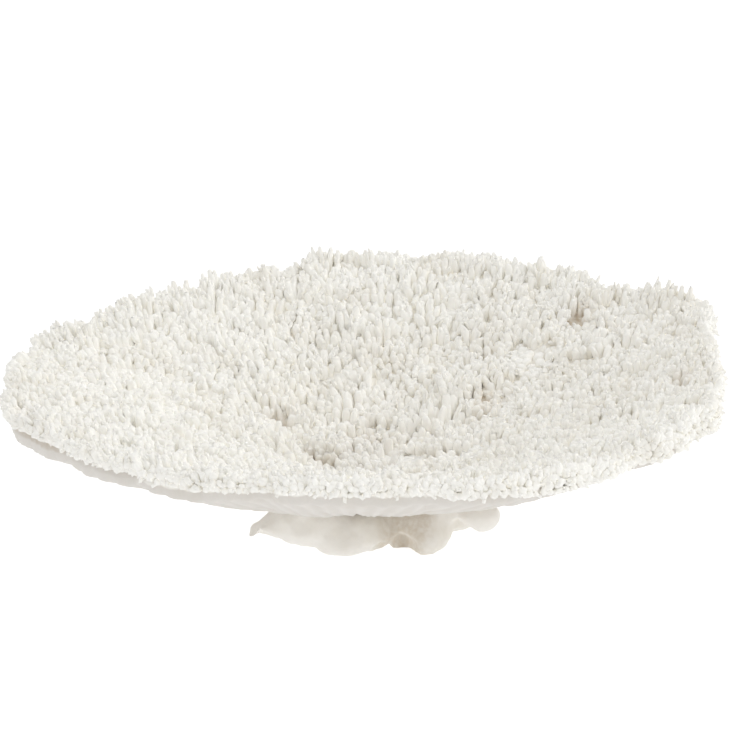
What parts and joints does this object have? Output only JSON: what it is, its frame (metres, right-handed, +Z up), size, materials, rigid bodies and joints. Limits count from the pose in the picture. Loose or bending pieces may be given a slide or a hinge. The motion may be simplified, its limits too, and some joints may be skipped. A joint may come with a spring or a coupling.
{
  "type": "table coral",
  "caption": "Bleached table coral skeleton: forked fans of fused branches spread into a shallow dish of upright branchlets on a short lumpy holdfast, cut flat to rest.",
  "frame": {"origin": "on the flat cut under the holdfast, near the middle of the stump that the fans fork from", "axes": "+Z up out of the dish, -Y towards the front edge, which is the lower and straighter one, +X to the right as seen from the front, along the dish's longest side"},
  "size_m": [0.4006, 0.3608, 0.1036],
  "materials": {
    "skeleton": "matt, porous, bleached cream-white skeleton, whiter at the branchlet tips, with faint tan stains low in the dish",
    "holdfast": "matt, smooth and mottled cream-white overgrown skeleton, a little darker in its hollows"
  },
  "bodies": {
    "root": {"holdfast": "holdfast", "fan_right": "skeleton", "fan_right_rear": "skeleton", "fan_rear_right": "skeleton", "fan_rear_middle": "skeleton", "fan_rear": "skeleton", "fan_rear_left": "skeleton", "fan_left_rear": "skeleton", "fan_left": "skeleton", "fan_left_front": "skeleton", "fan_front_left": "skeleton", "fan_front": "skeleton", "fan_front_right": "skeleton", "fan_right_front": "skeleton"}
  },
  "joints": []
}
